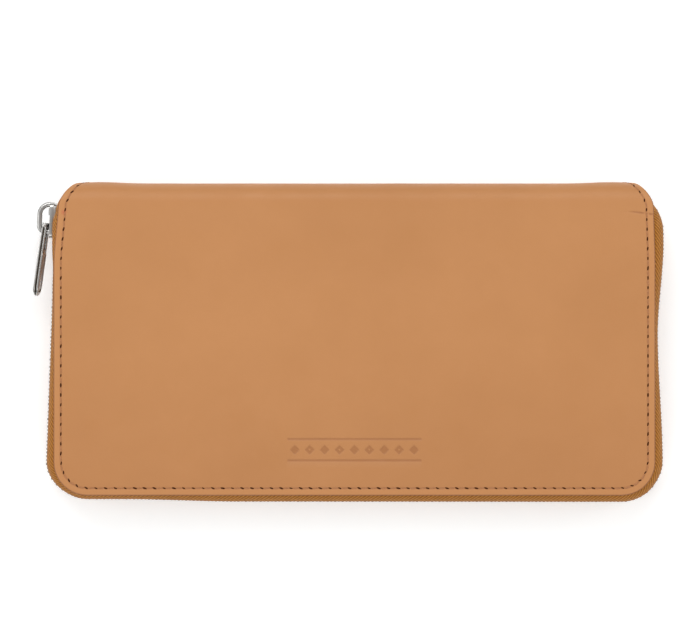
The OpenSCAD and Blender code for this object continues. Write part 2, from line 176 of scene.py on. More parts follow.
def on_chain(s, out, z):
    """Point beside the chain: out is outward, z is the height in the frame."""
    x, y, angle = chain_at(s)
    out += wander(s)
    return x + out * math.cos(angle), y + out * math.sin(angle), z


def on_tape(s, out, z):
    """Point of a zip tape, which swells outward between its seam and the slider's plates.

    Its end above the slider narrows to an ear that is tucked into the fold.
    """
    height = min(z, BODY_T - z)
    swell = smoothstep((height / MM - 2) / 2.5) * smoothstep((8 - height / MM) / 2)
    tuck = smoothstep((TAPE_PAST_FOLD - s) / (TAPE_PAST_FOLD - TAPE_START))
    edge_out = -0.6 * MM
    if out < edge_out:
        out = edge_out + (out - edge_out) * (1 - 0.95 * tuck)
    height = TAPE_END_Z - (TAPE_END_Z - height) * (1 - 0.62 * tuck)
    return on_chain(s, out + through(FULLNESS, s) * swell * (1 - tuck), face_up(height, z > MID_Z))


# ---------------------------------------------------------------- mesh helpers

SIDES = (("back", False), ("front", True))


def show(name, mesh, material, sharp_angle):
    """Object from a mesh, smooth shaded, with edges sharper than sharp_angle kept crisp."""
    mesh.polygons.foreach_set("use_smooth", [True] * len(mesh.polygons))
    mesh.set_sharp_from_angle(angle=math.radians(sharp_angle))
    mesh.materials.append(material)
    obj = bpy.data.objects.new(name, mesh)
    bpy.context.scene.collection.objects.link(obj)
    return obj


def add_mesh(name, verts, faces, material, sharp_angle):
    """Object from plain lists."""
    mesh = bpy.data.meshes.new(name)
    mesh.from_pydata([tuple(v) for v in verts], [], faces)
    mesh.validate()
    work = bmesh.new()
    work.from_mesh(mesh)
    bmesh.ops.recalc_face_normals(work, faces=work.faces)
    work.to_mesh(mesh)
    work.free()
    return show(name, mesh, material, sharp_angle)


def set_attribute(obj, name, values):
    attribute = obj.data.attributes.new(name, "FLOAT", "POINT")
    attribute.data.foreach_set("value", values)


def circle(count):
    """Evenly spaced angles all the way round."""
    return [2 * math.pi * j / count for j in range(count)]


def spread(low, high, step):
    """Evenly spaced values from low to high, about a step apart, without the last one."""
    count = max(1, round((high - low) / step))
    return [low + (high - low) * i / count for i in range(count)]


def with_end(low, high, step):
    return spread(low, high, step) + [high]


class Shells:
    """Collects closed shells into one mesh."""

    def __init__(self):
        self.verts, self.faces, self.weave = [], [], []

    def loft(self, rings, weave=()):
        """Closed tube through rings of equal length, capped at both ends. weave has a vector for each point."""
        start = len(self.verts)
        count = len(rings[0])
        for ring in rings:
            self.verts.extend(ring)
        for vectors in weave:
            self.weave.extend(vectors)
        for low in range(start, start + (len(rings) - 1) * count, count):
            high = low + count
            for j in range(count):
                k = (j + 1) % count
                self.faces.append((low + j, low + k, high + k, high + j))
        self.faces.append(tuple(start + j for j in reversed(range(count))))
        self.faces.append(tuple(start + (len(rings) - 1) * count + j for j in range(count)))

    def build(self, name, material, sharp_angle):
        obj = add_mesh(name, self.verts, self.faces, material, sharp_angle)
        if self.weave:
            attribute = obj.data.attributes.new("weave", "FLOAT_VECTOR", "POINT")
            attribute.data.foreach_set("vector", [c for v in self.weave for c in v])
        return obj


def finish_piece(obj, slot, body=None, blend=None, nodes=()):
    """Hides the frame's nodes that the piece stands for, then bakes its place if it spans two bodies, or hangs
    it on its body's empty. slot, its finish, is not used.
    """
    if nodes:
        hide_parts(*nodes)
    if blend:
        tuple(blend[2])
        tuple(blend[3])
        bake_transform(obj)
    else:
        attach(obj, body)


# ---------------------------------------------------------------- body pairs and end points for the soft pieces

FOLD_BACK = (
    "back", "centre",
    (0, FOLD_Y - 0.5 * MM, 0),
    (0, SPINE_Y - LEATHER_T / 2, FOLD_R + 0.5 * MM),
)
FOLD_FRONT = (
    "centre", "front",
    (0, SPINE_Y - LEATHER_T / 2, BODY_T - FOLD_R - 0.5 * MM),
    (0, FOLD_Y - 0.5 * MM, BODY_T),
)
ZIP_END_LOW = (0.062, 0.0, 0)
ZIP_END_HIGH = (0.095, 0.046, 0)
ZIP_BACK = ("back", "centre", ZIP_END_LOW, ZIP_END_HIGH)
ZIP_FRONT = ("centre", "front", ZIP_END_HIGH, ZIP_END_LOW)
GUSSET_LOW = NOTE_Z + 0.6 * MM
GUSSET_HIGH = COIN_LOW.z - 0.7 * MM
GUSSET_BACK = ("back", "centre", (0, 0, GUSSET_LOW), (0, 0, GUSSET_HIGH))
GUSSET_FRONT = ("centre", "front", (0, 0, BODY_T - GUSSET_HIGH), (0, 0, BODY_T - GUSSET_LOW))

# ---------------------------------------------------------------- materials


class Nodes:
    """Short names for building the node tree of a material, or of the world."""

    def __init__(self, owner, shader="Principled BSDF", place="Object"):
        owner.use_nodes = True
        self.owner = owner
        self.tree = owner.node_tree
        self.shader = self.tree.nodes[shader]
        self.place = self.add("TexCoord", place)

    def add(self, kind, output, inputs=None, **settings):
        """Output of a new node. inputs are plain values, other nodes' outputs, or None where left alone."""
        node = self.tree.nodes.new("ShaderNode" + kind)
        for name, value in settings.items():
            setattr(node, name, value)
        for socket, value in (inputs or {}).items():
            if isinstance(value, bpy.types.NodeSocket):
                self.tree.links.new(value, node.inputs[socket])
            elif value is not None:
                node.inputs[socket].default_value = value
        return node.outputs[output]

    def scaled(self, *scale):
        return self.add("Mapping", "Vector", {"Vector": self.place, "Scale": scale})

    def noise(self, scale, detail, roughness, vector=None):
        inputs = {"Vector": vector or self.place, "Scale": scale, "Detail": detail, "Roughness": roughness}
        return self.add("TexNoise", "Fac", inputs)

    def cells(self, scale, feature="F1"):
        return self.add("TexVoronoi", "Distance", {"Vector": self.place, "Scale": scale}, feature=feature)

    def attribute(self, name, output="Fac"):
        return self.add("Attribute", output, attribute_name=name)

    def axis(self, vector, index):
        return self.add("SeparateXYZ", index, {0: vector})

    def remap(self, value, low, high, to_low=0.0, to_high=1.0):
        inputs = {"Value": value, "From Min": low, "From Max": high, "To Min": to_low, "To Max": to_high}
        return self.add("MapRange", "Result", inputs)

    def cloudy(self, scale, detail, roughness, to_low=0.0, to_high=1.0):
        """Noise stretched over its usual span."""
        return self.remap(self.noise(scale, detail, roughness), 0.3, 0.7, to_low, to_high)

    def math(self, operation, a, b=None):
        return self.add("Math", 0, {0: a, 1: b}, operation=operation)

    def times(self, a, b):
        return self.math("MULTIPLY", a, b)

    def plus(self, a, b):
        return self.math("ADD", a, b)

    def mix(self, factor, a, b):
        a, b = ((*colour, 1.0) if isinstance(colour, tuple) else colour for colour in (a, b))
        return self.add("Mix", 2, {0: factor, 6: a, 7: b}, data_type="RGBA")

    def bump(self, height, distance, strength, under=None):
        inputs = {"Height": height, "Distance": distance, "Strength": strength, "Normal": under}
        return self.add("Bump", "Normal", inputs)

    def done(self, colour, roughness, normal=None, **plain):
        """Links the looks that vary and sets the ones that don't on the shader's own sockets."""
        self.tree.links.new(colour, self.shader.inputs["Base Color"])
        self.tree.links.new(roughness, self.shader.inputs["Roughness"])
        if normal:
            self.tree.links.new(normal, self.shader.inputs["Normal"])
        for name, value in plain.items():
            self.shader.inputs[name.replace("_", " ")].default_value = value
        return self.owner


def leather_material(name, colour, deep, edge, scuff=None):
    """Smooth leather: soft cloudy colour, fine pores, and a burnished cut edge where inset_mm is near 0.

    The stitch line's groove is darkened with painted shade. scuff is the place of one small reddish rub mark.
    """
    n = Nodes(bpy.data.materials.new(name))
    base = n.mix(n.remap(n.noise(22, 4, 0.55), 0.35, 0.68), colour, deep)
    base = n.mix(n.times(n.cloudy(260, 3, 0.6), 0.22), base, deep)
    # Painted shade: the leather darkens towards its bottom edge.
    base = n.mix(n.remap(n.axis(n.place, 1), 0.0, BOTTOM_Y, 0.0, 0.13), base, edge)
    inset = n.attribute("inset_mm")
    # Painted highlight: the margin between the cut edge and the stitch line is lighter, as light on its rolled
    # edge.
    base = n.mix(n.remap(inset, 1.9, 2.4, 0.3, 0.0), base, tuple(min(1.0, c * 1.14) for c in colour))
    base = n.mix(n.remap(inset, 0.05, 0.4, 1.0, 0.0), base, edge)
    # Painted shade in the stitch groove.
    off_line = n.math("ABSOLUTE", n.math("SUBTRACT", inset, STITCH_INSET / MM))
    base = n.mix(n.remap(off_line, 0.1, 0.6, 0.22, 0.0), base, edge)
    if scuff:
        distance = n.add("VectorMath", "Value", {0: n.place, 1: scuff}, operation="DISTANCE")
        ragged = n.plus(distance, n.times(n.noise(900, 2, 0.5), 0.0012))
        base = n.mix(n.remap(ragged, 0.0006, 0.0019, 0.6, 0.0), base, (0.52, 0.11, 0.06))
    # Darkened where the ornament is pressed in, partly the pressed leather's own tone and partly painted shade
    # in its grooves; along the crease it is painted shade.
    base = n.mix(n.times(n.attribute("pressed"), 0.42), base, edge)
    pores = n.remap(n.cells(2600), 0.0, 0.32)
    creases = n.remap(n.cells(900, "DISTANCE_TO_EDGE"), 0.0, 0.12)
    height = n.plus(n.times(pores, 0.5), n.times(creases, 0.25))
    height = n.plus(height, n.times(n.noise(1500, 4, 0.65), 0.5))
    normal = n.bump(height, 0.00006, 0.55, n.bump(n.noise(90, 2, 0.5), 0.0006, 0.25))
    return n.done(base, n.cloudy(140, 3, 0.6, 0.42, 0.56), normal, Specular_IOR_Level=0.3, Sheen_Weight=0.02)


def twill_material(name, light, dark, rib_mm, lean=1.0):
    """Woven tape: diagonal ribs along the weave attribute, with yarn crossings and stray fibres."""
    n = Nodes(bpy.data.materials.new(name))
    weave = n.attribute("weave", "Vector")
    along, across = n.axis(weave, 0), n.axis(weave, 1)
    turns = 2 * math.pi / rib_mm
    diagonal = n.plus(n.plus(along, n.times(across, lean)), n.times(n.noise(500, 2, 0.5), 0.18))
    ribs = n.remap(n.math("SINE", n.times(diagonal, turns)), -1.0, 1.0)
    yarns = n.remap(n.math("SINE", n.times(n.math("SUBTRACT", along, across), turns * 1.9)), -1.0, 1.0)
    height = n.plus(n.times(ribs, 0.75), n.times(yarns, 0.25))
    shade = n.plus(n.times(height, 0.75), n.times(n.noise(900, 3, 0.7), 0.35))
    colour = n.mix(n.remap(shade, 0.15, 0.95), dark, light)
    normal = n.bump(height, 0.00022, 0.9, n.bump(n.noise(5000, 2, 0.7), 0.00004, 0.35))
    rough = n.cloudy(700, 2, 0.5, 0.78, 0.92)
    return n.done(colour, rough, normal, Specular_IOR_Level=0.25, Sheen_Weight=0.08, Sheen_Roughness=0.5)


def cloth_material(name, light, dark, pitch_mm):
    """Plain woven lining: crossed yarns placed by the object's own coordinates."""
    n = Nodes(bpy.data.materials.new(name))
    turns = 2 * math.pi / (pitch_mm * MM)
    across = n.math("SINE", n.times(n.axis(n.place, 0), turns))
    along = n.math("SINE", n.times(n.plus(n.axis(n.place, 1), n.axis(n.place, 2)), turns))
    grid = n.remap(n.times(across, along), -1.0, 1.0)
    shade = n.plus(n.times(grid, 0.6), n.times(n.noise(120, 4, 0.6), 0.6))
    colour = n.mix(n.remap(shade, 0.2, 1.0), dark, light)
    normal = n.bump(grid, 0.0001, 0.7, n.bump(n.noise(60, 2, 0.5), 0.0008, 0.25))
    rough = n.cloudy(300, 2, 0.5, 0.68, 0.85)
    return n.done(colour, rough, normal, Specular_IOR_Level=0.3, Sheen_Weight=0.2, Sheen_Roughness=0.4)


def metal_material(name, bright, dull, rough_low, rough_high, scratch):
    """Plated metal: faint smudges, fine scratches and darker spots in the plating."""
    n = Nodes(bpy.data.materials.new(name))
    smudge = n.remap(n.noise(220, 3, 0.5), 0.3, 0.72)
    spots = n.remap(n.noise(1800, 3, 0.7), 0.62, 0.78, 0.0, 0.5)
    colour = n.mix(spots, n.mix(smudge, bright, dull), dull)
    lines = n.noise(900, 3, 0.6, n.scaled(1.0, 1.0, 14.0))
    normal = n.bump(lines, 0.000015, scratch, n.bump(n.noise(160, 2, 0.5), 0.0001, 0.12))
    return n.done(colour, n.remap(smudge, 0.0, 1.0, rough_low, rough_high), normal, Metallic=1.0)


def thread_material(name, light, dark):
    """Sewing thread with its ply showing as slanted strands."""
    n = Nodes(bpy.data.materials.new(name))
    strands = n.noise(2600, 2, 0.5, n.scaled(1.0, 2.2, 1.0))
    colour = n.mix(n.remap(strands, 0.3, 0.7), dark, light)
    rough = n.remap(strands, 0.3, 0.7, 0.6, 0.8)
    return n.done(colour, rough, n.bump(strands, 0.0001, 0.6), Specular_IOR_Level=0.3, Sheen_Weight=0.2)


# Near black colour of the needle holes: painted shade inside them.
def hole_shade_material():
    n = Nodes(bpy.data.materials.new("needle_hole"))
    colour = n.mix(n.noise(1500, 2, 0.5), (0.035, 0.009, 0.003), (0.075, 0.02, 0.007))
    return n.done(colour, n.cloudy(800, 2, 0.5, 0.8, 0.95), Specular_IOR_Level=0.1)


def board_material():
    """Grey board with pressed fibres."""
    n = Nodes(bpy.data.materials.new("stiffener_board"))
    fibre = n.noise(800, 5, 0.7, n.scaled(1.0, 3.0, 1.0))
    colour = n.mix(n.remap(fibre, 0.3, 0.7), (0.42, 0.38, 0.31), (0.55, 0.51, 0.43))
    return n.done(colour, n.remap(fibre, 0.3, 0.7, 0.8, 0.95), n.bump(fibre, 0.00008, 0.5))


def floor_material():
    n = Nodes(bpy.data.materials.new("studio_floor"))
    colour = n.mix(n.noise(3, 2, 0.5), (0.90, 0.93, 0.94), (0.915, 0.945, 0.955))
    n.shader.inputs["Emission Color"].default_value = (1.0, 1.0, 1.0, 1.0)
    return n.done(colour, n.cloudy(5, 2, 0.5, 0.88, 0.94), Specular_IOR_Level=0.1, Emission_Strength=0.3)


STITCH_PITCH = 3.2 * MM
STITCH_INSET = 2.4 * MM
GROOVE = 0.12 * MM

TAN = leather_material(
    "cover_leather", (0.524, 0.237, 0.0885), (0.488, 0.217, 0.078), (0.24, 0.08, 0.024),
    scuff=(3.4 * MM - HALF_W, FOLD_Y - 3.5 * MM, BODY_T))
POCKET_TAN = leather_material(
    "pocket_leather", (0.50, 0.235, 0.10), (0.42, 0.19, 0.075), (0.22, 0.075, 0.025))
TWILL = twill_material("zip_tape", (0.58, 0.238, 0.037), (0.24, 0.08, 0.0095), 1.35, 1.3)
COIN_TWILL = twill_material("coin_zip_tape", (0.30, 0.15, 0.07), (0.15, 0.07, 0.03), 0.7)
LINING = cloth_material("lining_fabric", (0.27, 0.14, 0.07), (0.13, 0.06, 0.03), 0.7)
TOOTH_METAL = metal_material("zip_teeth_nickel", (0.58, 0.56, 0.53), (0.27, 0.26, 0.245), 0.32, 0.48, 0.4)
NICKEL = metal_material("slider_nickel", (0.61, 0.60, 0.58), (0.45, 0.435, 0.42), 0.24, 0.36, 0.3)
# Near black nickel for the pull tab's core: painted shade in the gap between the tab's two faces.
SHADE_NICKEL = metal_material("nickel_painted_shade", (0.085, 0.07, 0.055), (0.035, 0.028, 0.022), 0.45, 0.6, 0.4)
THREAD = thread_material("tan_thread", (0.50, 0.22, 0.09), (0.37, 0.15, 0.055))
DARK_THREAD = thread_material("brown_thread", (0.24, 0.11, 0.05), (0.12, 0.05, 0.02))
HOLE_SHADE = hole_shade_material()

# ---------------------------------------------------------------- the leather cover


def cover_half(s):
    """Half width of the leather: it leans in gently towards the fold, then steeply round it."""
    lean = 1.0 * MM * smoothstep((s - FOLD_Y + 21.5 * MM) / (22 * MM))
    return HALF_W - lean - (SPINE_INSET - 0.6 * MM) * smoothstep((s - FOLD_Y + 2 * MM) / (14.5 * MM))


def cover_point(x, s, depth, front):
    """Place in the frame of a point of the wrapped leather. The fold sits a little to the right."""
    x += 0.5 * MM * smoothstep((s - FOLD_Y + 21.5 * MM) / (22 * MM))
    if s <= FOLD_Y:
        y, z = s, depth
    elif s <= SPINE_S:
        angle = (s - FOLD_Y) / NEUTRAL_R
        y = FOLD_Y + (FOLD_R - depth) * math.sin(angle)
        z = FOLD_R - (FOLD_R - depth) * math.cos(angle)
    else:
        y, z = SPINE_Y - depth, FOLD_R + s - SPINE_S
    return x, y, face_up(z, front)


def edge_line(half_at, low, radius, inset, rows, cols, arc_steps):
    """Points x, s along a line inside a sheet's edge: down the left, along the bottom, up the right."""
    reach = radius - inset
    turns = [math.pi / 2 * k / arc_steps for k in range(1, arc_steps)]
    line = [(inset - half_at(s), s) for s in reversed(rows)]
    line += [(cols[0] - reach * math.cos(a), low + radius - reach * math.sin(a)) for a in turns]
    line += [(x, low + inset) for x in cols]
    line += [(cols[-1] + reach * math.sin(a), low + radius - reach * math.cos(a)) for a in turns]
    return line + [(half_at(s) - inset, s) for s in rows]


def u_sheet(name, material, cols, rows, half_at, low, radius, profile, place):
    """Closed sheet with two round corners at its low edge and a square cut at its top.

    cols are x values between the corner centres, rows are s values from the corner centres to the top.
    profile runs round the section of the edge, from the inside at inset = radius to the outside at
    inset = radius, as pairs of inset and depth. place turns x, s, depth into a point. Also returns each point
    as x, s, depth.
    """
    arc_steps = 10
    verts, insets, flat, faces = [], [], [], []

    def vert(x, s, depth, inset):
        verts.append(place(x, s, depth))
        insets.append(inset / MM)
        flat.append((x, s, depth))
        return len(verts) - 1

    def grid(depth):
        scales = [(half_at(s) - radius) / cols[-1] for s in rows]
        return [[vert(x * scale, s, depth, radius) for x in cols] for s, scale in zip(rows, scales)]

    def ring(inset, depth, table):
        if inset < radius:
            line = edge_line(half_at, low, radius, inset, rows, cols, arc_steps)
            return [vert(x, s, depth, inset) for x, s in line]
        first = table[0]
        corner = arc_steps - 1
        left, right = [row[0] for row in reversed(table)], [row[-1] for row in table]
        return left + [first[0]] * corner + first + [first[-1]] * corner + right

    def quad(*corners):
        kept = [c for i, c in enumerate(corners) if c != corners[i - 1]]
        if len(kept) > 2:
            faces.append(tuple(kept))

    inner = grid(profile[0][1])
    outer = grid(profile[-1][1])
    tables = [outer if k > len(profile) / 2 else inner for k in range(len(profile))]
    rings = [ring(inset, depth, table) for (inset, depth), table in zip(profile, tables)]
    for a, b in zip(rings, rings[1:]):
        for j in range(len(a) - 1):
            quad(a[j], a[j + 1], b[j + 1], b[j])
    for table, turn in ((inner, 1), (outer, -1)):
        for below, above in zip(table, table[1:]):
            for j in range(len(cols) - 1):
                corners = [below[j], below[j + 1], above[j + 1], above[j]]
                quad(*corners[::turn])
    for j in range(len(cols) - 1):
        quad(inner[-1][j], inner[-1][j + 1], outer[-1][j + 1], outer[-1][j])
    faces.append(tuple(r[0] for r in rings))
    faces.append(tuple(r[-1] for r in reversed(rings)))
    obj = add_mesh(name, verts, faces, material, 50)
    set_attribute(obj, "inset_mm", insets)
    return obj, flat


CREASE_S = 43.1 * MM
ORNAMENT_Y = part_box("cover_front")[0].y + 15 * MM
ORNAMENT_HALF_W = 22 * MM
ORNAMENT_COUNT = 9
ORNAMENT_STEP = 2 * ORNAMENT_HALF_W / ORNAMENT_COUNT


def pressed(x, s):
    """How far the ornament is pressed in at a point: 0 outside it, 1 at its full depth."""
    dy = abs(s - ORNAMENT_Y)
    if abs(x) > ORNAMENT_HALF_W + 1 * MM or dy > 5 * MM:
        return 0.0
    soft = 0.22 * MM
    line_half = 0.3 * MM
    edge = max(abs(dy - ORNAMENT_STEP / 1.4) - line_half, abs(x) - ORNAMENT_HALF_W)
    index = round(x / ORNAMENT_STEP)
    if abs(index) <= ORNAMENT_COUNT // 2:
        away = abs(x - index * ORNAMENT_STEP) + dy
        half_diagonal = ORNAMENT_STEP / 2.2 * math.sqrt(0.5)
        diamond = (away - half_diagonal) * math.sqrt(0.5)
        edge = min(edge, max(diamond, 0.35 * MM - away) if index % 2 else diamond)
    return 1 - smoothstep((edge + soft / 2) / soft)


def bell(offset, width):
    return math.exp(-((offset / width) ** 2))


def crease(x, s):
    """Strength of the one small crease, at the right by the stitches below the fold."""
    line = CREASE_S - 0.13 * (x - 91 * MM)
    return smoothstep((x - 89 * MM) / (3 * MM)) * bell(s - line, 0.26 * MM)


def dip(x, s):
    """Depth of the outer face's unevenness.

    A soft swell, an easing where the fold starts, fuller ends of the spine, and one crease at the right.
    """
    easing = 0.4 * MM * bell(s - FOLD_Y, 7 * MM)
    ends = -0.5 * MM * bell(abs(x) - 84 * MM, 9 * MM) * smoothstep((s - FOLD_Y) / FOLD_ARC)
    swell = 0.16 * MM * noise.noise(Vector((x, s, 0.3)) * 28)
    ripple = 0.05 * MM * noise.noise(Vector((x, s, 7.0)) * 110)
    return swell + ripple + easing + ends + 0.25 * MM * crease(x, s)


def leather_half(name, front):
    t = LEATHER_T
    profile = [(CORNER_R, t)] + [(inset * MM, t) for inset in (7, 3, 1.2, 0.4)]
    profile += [(0.12 * MM, t - 0.1 * MM), (0.0, t - 0.32 * MM)]
    profile += [(inset * MM, depth * MM) for inset, depth in (
        (0, 0.45), (0.06, 0.22), (0.2, 0.08), (0.5, 0), (0.9, 0), (1.4, 0), (1.9, 0.01), (2.15, 0.05),
        (2.4, 0.12), (2.65, 0.05), (2.95, 0.01), (3.6, 0), (4.8, 0), (6.5, 0), (8.5, 0),
    )] + [(CORNER_R, 0.0)]
    fine = ORNAMENT_HALF_W + 1 * MM
    fine_top = ORNAMENT_Y + 4.4 * MM
    fine_step = (0.24 if front else 3) * MM
    crease_from, crease_to = CREASE_S - 1.5 * MM, CREASE_S + 0.9 * MM
    cols = spread(-CORNER_X, -fine, 3 * MM) + spread(-fine, fine, fine_step)
    cols += with_end(fine, CORNER_X, 3 * MM)
    rows = spread(CORNER_Y, fine_top, fine_step)
    rows += spread(fine_top, 38 * MM, 3 * MM) + spread(38 * MM, crease_from, 0.8 * MM)
    rows += spread(crease_from, crease_to, (0.15 if front else 0.8) * MM)
    rows += spread(crease_to, FOLD_Y, 0.8 * MM) + with_end(FOLD_Y, MID_S, 0.7 * MM)

    def place(x, s, depth):
        give = dip(x if front else -x, s) * smoothstep((MID_S - s) / (5 * MM)) * (1 - depth / t)
        if front and depth == 0.0:
            give += 0.2 * MM * pressed(x, s)
        return cover_point(x, s, depth + give, front)

    obj, flat = u_sheet(name, TAN, cols, rows, cover_half, BOTTOM_Y, CORNER_R, profile, place)
    # Darkening for each point of the outer face: the pressed ornament, and the crease as painted shade.
    marks = [
        max(pressed(x, s), 1.3 * crease(x, s)) if front and depth == 0.0 else 0.0 for x, s, depth in flat
    ]
    set_attribute(obj, "pressed", marks)
    return obj


finish_piece(
    leather_half("leather_cover_back", False), "cover_leather", blend=FOLD_BACK,
    nodes=("cover_back", "cover_fold_back", "cover_spine"),
)
finish_piece(
    leather_half("leather_cover_front", True), "cover_leather", blend=FOLD_FRONT,
    nodes=("cover_front", "cover_fold_front"),
)

# ---------------------------------------------------------------- stitching


def along_route(route, pitch):
    """Places on a route a pitch apart, each with its direction."""
    lengths = [0.0]
    for (x0, s0), (x1, s1) in zip(route, route[1:]):
        lengths.append(lengths[-1] + math.hypot(x1 - x0, s1 - s0))
    count = int(lengths[-1] / pitch)
    spare = (lengths[-1] - (count - 1) * pitch) / 2
    places, k = [], 0
    for i in range(count):
        wanted = spare + i * pitch
        while lengths[k + 1] < wanted:
            k += 1
        (x0, s0), (x1, s1) = route[k], route[k + 1]
        t = (wanted - lengths[k]) / (lengths[k + 1] - lengths[k])
        places.append((x0 + (x1 - x0) * t, s0 + (s1 - s0) * t, math.atan2(s1 - s0, x1 - x0)))
    return places


def stitches(name, route, pitch, length, radius, place, material, seed):
    """A row of thread stitches: each rises out of one needle hole and dives into the next."""
    shells = Shells()
    dice = random.Random(seed)
    slant = 0.16
    for x, s, heading in along_route(route, pitch):
        turn = heading + slant + dice.uniform(-0.05, 0.05)
        size = radius * dice.uniform(0.92, 1.08)
        along, across = math.cos(turn), math.sin(turn)
        rings = []
        for k in range(7):
            u = k / 6 * 2 - 1
            px, ps = x + along * u * length / 2, s + across * u * length / 2
            rise = -size * 0.55 + size * 1.5 * u**4
            girth = size * (1 - 0.45 * u**6)
            rings.append([
                place(
                    px - across * (girth * math.cos(a)), ps + along * (girth * math.cos(a)),
                    rise - girth * 0.8 * math.sin(a))
                for a in circle(6)
            ])
        shells.loft(rings)
    return shells.build(name, material, 80)


def needle_holes(name, route, pitch, place, seed):
    """Needle slits between the stitches, each a small flat lens set into the leather, coloured near black as
    painted shade inside the hole.
    """
    shells = Shells()
    dice = random.Random(seed)
    slant, half_length, half_width = 0.35, 0.68, 0.27
    places = along_route(route, pitch)
    for (x0, s0, a0), (x1, s1, _a1) in zip(places, places[1:]):
        x, s = (x0 + x1) / 2, (s0 + s1) / 2
        turn = a0 - slant * (0.3 + 0.7 * abs(math.cos(a0))) + dice.uniform(-0.12, 0.12)
        scale = dice.uniform(0.8, 1.15)
        along, across = math.cos(turn), math.sin(turn)
        rings = []
        for size, depth in ((0.55, 0.08), (1.0, -0.06), (0.85, -0.14)):
            ring = []
            for a in circle(10):
                u = math.cos(a) * half_length * size * scale * MM
                v = math.sin(a) * half_width * size * scale * MM
                ring.append(place(x + along * u - across * v, s + across * u + along * v, depth * MM))
            rings.append(ring)
        shells.loft(rings)
    return shells.build(name, HOLE_SHADE, 60)


seam_rows, seam_cols = with_end(CORNER_Y, MID_S, 0.5 * MM), with_end(-CORNER_X, CORNER_X, 0.5 * MM)
seam = edge_line(cover_half, BOTTOM_Y, CORNER_R, STITCH_INSET, seam_rows, seam_cols, 20)
for (side_name, is_front), fold in zip(SIDES, (FOLD_BACK, FOLD_FRONT)):

    def on_leather(x, s, depth, is_front=is_front):
        return cover_point(x, s, depth + GROOVE + dip(x if is_front else -x, s), is_front)

    thread = stitches(
        f"cover_stitching_{side_name}", seam, STITCH_PITCH, 2.3 * MM, 0.2 * MM, on_leather, THREAD, 11)
    finish_piece(thread, "cover_leather", blend=fold)
    holes = needle_holes(f"cover_needle_holes_{side_name}", seam, STITCH_PITCH, on_leather, 12)
    finish_piece(holes, "cover_leather", blend=fold)

# ---------------------------------------------------------------- main zip: tape, bead, teeth and stops


def path_steps(s_from, s_to):
    """Distances along the chain, closer together where it bends."""
    marks = [s_from]
    bends = ((S_LEFT, S_CORNER_LEFT), (S_BOTTOM, S_CORNER_RIGHT), (S_RIGHT, math.inf))
    while marks[-1] < s_to - 0.3 * MM:
        s = marks[-1]
        bent = any(low - 1 * MM < s < high for low, high in bends)
        marks.append(min(s + (0.9 if bent else 1.8) * MM, s_to))
    return marks


def sweep_tape(shells, centre_line, thickness, s_values, front, point_at=on_tape):
    """Band of even thickness along the chain. centre_line is its section, as pairs of outward and height."""
    half = thickness / 2
    sides = []
    for k, (out, z) in enumerate(centre_line):
        before = Vector(centre_line[max(k - 1, 0)])
        after = Vector(centre_line[min(k + 1, len(centre_line) - 1)])
        normal = (after - before).normalized()
        sides.append((out, z, normal.y, -normal.x))
    lengths = [0.0]
    for a, b in zip(centre_line, centre_line[1:]):
        lengths.append(lengths[-1] + (Vector(b) - Vector(a)).length)
    rings, marks = [], []
    for s in s_values:
        ring, mark = [], []
        for sign, order in ((1, range(len(sides))), (-1, reversed(range(len(sides))))):
            for k in order:
                out, z, n_out, n_z = sides[k]
                ring.append(point_at(s, out + sign * half * n_out, face_up(z + sign * half * n_z, front)))
                mark.append((s / MM, lengths[k] / MM, 0))
        rings.append(ring)
        marks.append(mark)
    shells.loft(rings, marks)


TAPE_END_Z = MID_Z - 2.3 * MM
TAPE_SECTION = [
    (-9.0 * MM, 1.6 * MM), (-6.0 * MM, 1.6 * MM), (-3.4 * MM, 1.6 * MM), (-2.3 * MM, 1.62 * MM),
    (-1.5 * MM, 1.85 * MM), (-0.7 * MM, 2.45 * MM), (-0.12 * MM, 3.4 * MM), (0.22 * MM, 4.7 * MM),
    (0.32 * MM, 6.1 * MM), (0.18 * MM, 7.6 * MM), (0.0, 9.0 * MM), (0.0, TAPE_END_Z),
]


def zip_tape(name, front):
    shells = Shells()
    s_values = path_steps(TAPE_START, TAPE_END)
    sweep_tape(shells, TAPE_SECTION, 0.55 * MM, s_values, front)
    bead_r = 0.62 * MM
    rings, weave = [], []
    for s in s_values:
        rings.append([
            on_chain(s, bead_r * math.cos(a), face_up(TAPE_END_Z - 0.1 * MM + bead_r * math.sin(a), front))
            for a in circle(8)
        ])
        weave.append([(s / MM, j * 0.45, 0) for j in range(8)])
    shells.loft(rings, weave)
    return shells.build(name, TWILL, 60)


# Sections of one tooth from its foot, which grips the tape, to its head: height, half thickness, half width
TOOTH_SECTIONS = [
    (-2.9, 0.95, 0.36), (-2.75, 1.20, 0.46), (-1.55, 1.25, 0.475), (-1.15, 1.16, 0.45), (-0.75, 0.92, 0.40),
    (0.05, 0.88, 0.43), (0.48, 0.82, 0.44), (0.72, 0.66, 0.36), (0.8, 0.42, 0.22),
]


def tooth_rings(s, front, point_at, scale=1.0):
    corners = ((1, 0.62), (0.66, 1), (-0.66, 1), (-1, 0.62), (-1, -0.62), (-0.66, -1), (0.66, -1), (1, -0.62))
    rings = []
    for height, half_t, half_w in TOOTH_SECTIONS:
        z = face_up(MID_Z + height * scale * MM, front)
        rings.append([point_at(s + v * half_w * scale * MM, u * half_t * scale * MM, z) for u, v in corners])
    return rings


def zip_teeth(name, front):
    shells = Shells()
    count = int((LAST_TOOTH_S - FIRST_TOOTH_S) / TOOTH_PITCH)
    for i in range(count):
        shells.loft(tooth_rings(FIRST_TOOTH_S + (i + (0.5 if front else 0)) * TOOTH_PITCH, front, on_chain))
    return shells.build(name, TOOTH_METAL, 30)


